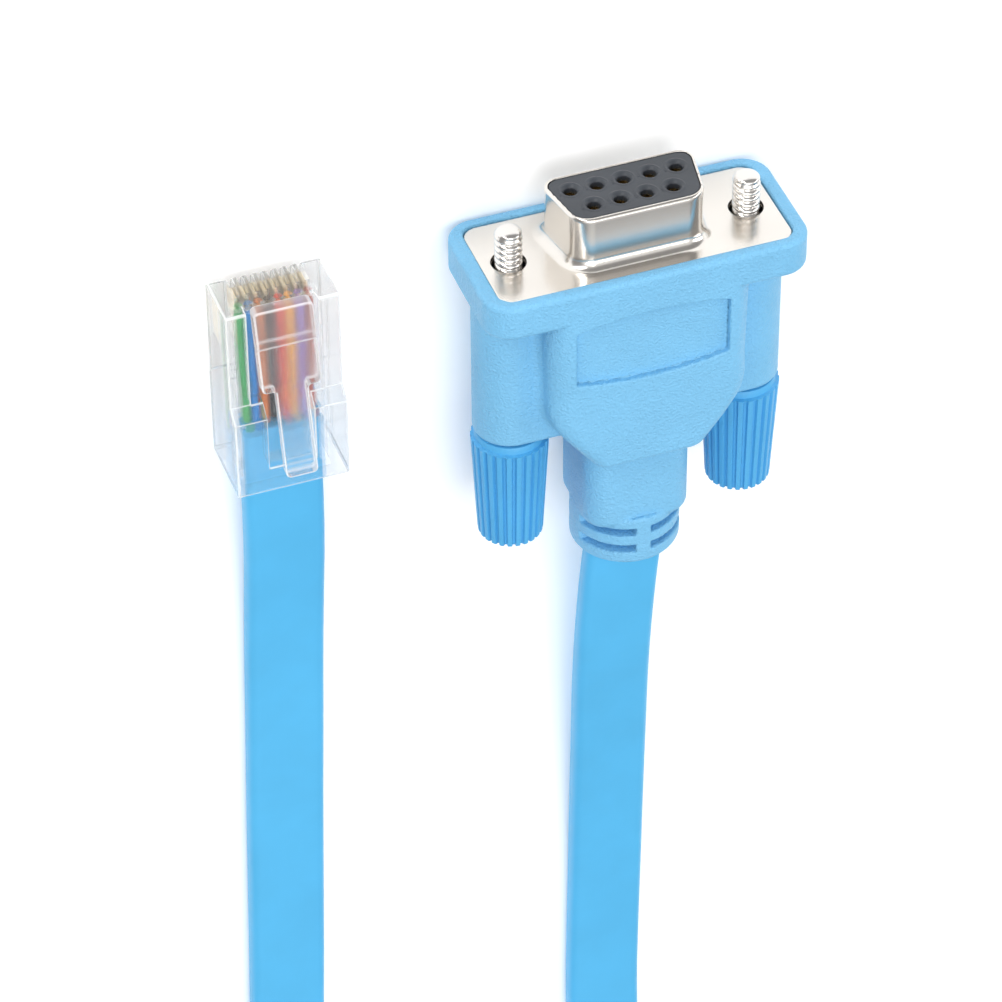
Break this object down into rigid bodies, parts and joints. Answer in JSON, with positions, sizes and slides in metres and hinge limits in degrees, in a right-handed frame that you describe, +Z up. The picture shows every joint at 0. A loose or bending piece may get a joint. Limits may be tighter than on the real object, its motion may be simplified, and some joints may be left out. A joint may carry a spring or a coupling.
{
  "type": "console cable",
  "caption": "Flat console cable with a clear modular plug at one end and, at the other, a moulded D-shaped socket connector held by thumbscrews; the spare length is folded into a tied hank.",
  "frame": {"origin": "on the surface that the cable lies on, under the middle of the nine-way connector's box", "axes": "both connectors mate towards -Y, the cable leaves towards +Y, +Z is up, and the modular plug lies on the +X side"},
  "size_m": [0.0676, 0.2621, 0.0182],
  "materials": {
    "hood_plastic": "fine moulded grain, satin",
    "knob_plastic": "smooth moulded, satin",
    "cable_jacket": "smooth extruded vinyl, satin",
    "plated_steel": "bright tin or nickel plate",
    "screw_steel": "nickel plated thread",
    "insulator_plastic": "smooth moulded, dark",
    "gold_contact": "gold flash",
    "clear_plastic": "clear, polished",
    "wire_green": "smooth",
    "wire_blue": "smooth",
    "wire_orange": "smooth",
    "wire_black": "smooth",
    "wire_red": "smooth",
    "wire_yellow": "smooth",
    "wire_violet": "smooth",
    "wire_brown": "smooth",
    "tie": "soft plastic band"
  },
  "bodies": {
    "cable": {"hood": "hood_plastic", "front_shell": "plated_steel", "rear_shell": "plated_steel", "insulator": "insulator_plastic", "socket_contact_1": "gold_contact", "socket_contact_2": "gold_contact", "socket_contact_3": "gold_contact", "socket_contact_4": "gold_contact", "socket_contact_5": "gold_contact", "socket_contact_6": "gold_contact", "socket_contact_7": "gold_contact", "socket_contact_8": "gold_contact", "socket_contact_9": "gold_contact", "plug_housing": "clear_plastic", "plug_blade_1": "gold_contact", "plug_blade_2": "gold_contact", "plug_blade_3": "gold_contact", "plug_blade_4": "gold_contact", "plug_blade_5": "gold_contact", "plug_blade_6": "gold_contact", "plug_blade_7": "gold_contact", "plug_blade_8": "gold_contact", "wire_green": "wire_green", "wire_blue": "wire_blue", "wire_orange": "wire_orange", "wire_black": "wire_black", "wire_red": "wire_red", "wire_yellow": "wire_yellow", "wire_violet": "wire_violet", "wire_brown": "wire_brown", "cable_connector_run": "cable_jacket", "cable_plug_run": "cable_jacket", "cable_hank": "cable_jacket", "hank_tie_right": "tie", "hank_tie_left": "tie"},
    "thumbscrew_right": {"jackscrew_right": "screw_steel", "knob_right": "knob_plastic"},
    "thumbscrew_left": {"jackscrew_left": "screw_steel", "knob_left": "knob_plastic"},
    "latch": {"plug_latch": "clear_plastic"}
  },
  "joints": [
    {"name": "thumbscrew_right_turn", "type": "hinge", "parent": "cable", "child": "thumbscrew_right", "pos_m": [-0.0125, 0.01, 0.0075], "axis": [0, -1, 0], "continuous": true},
    {"name": "thumbscrew_left_turn", "type": "hinge", "parent": "cable", "child": "thumbscrew_left", "pos_m": [0.0125, 0.01, 0.0075], "axis": [0, -1, 0], "continuous": true},
    {"name": "latch_press", "type": "hinge", "parent": "cable", "child": "latch", "pos_m": [0.0355, -0.0162, 0.0065], "axis": [-1, 0, 0], "range_deg": [0, 10], "stiffness_Nm_per_rad": 0.6}
  ]
}
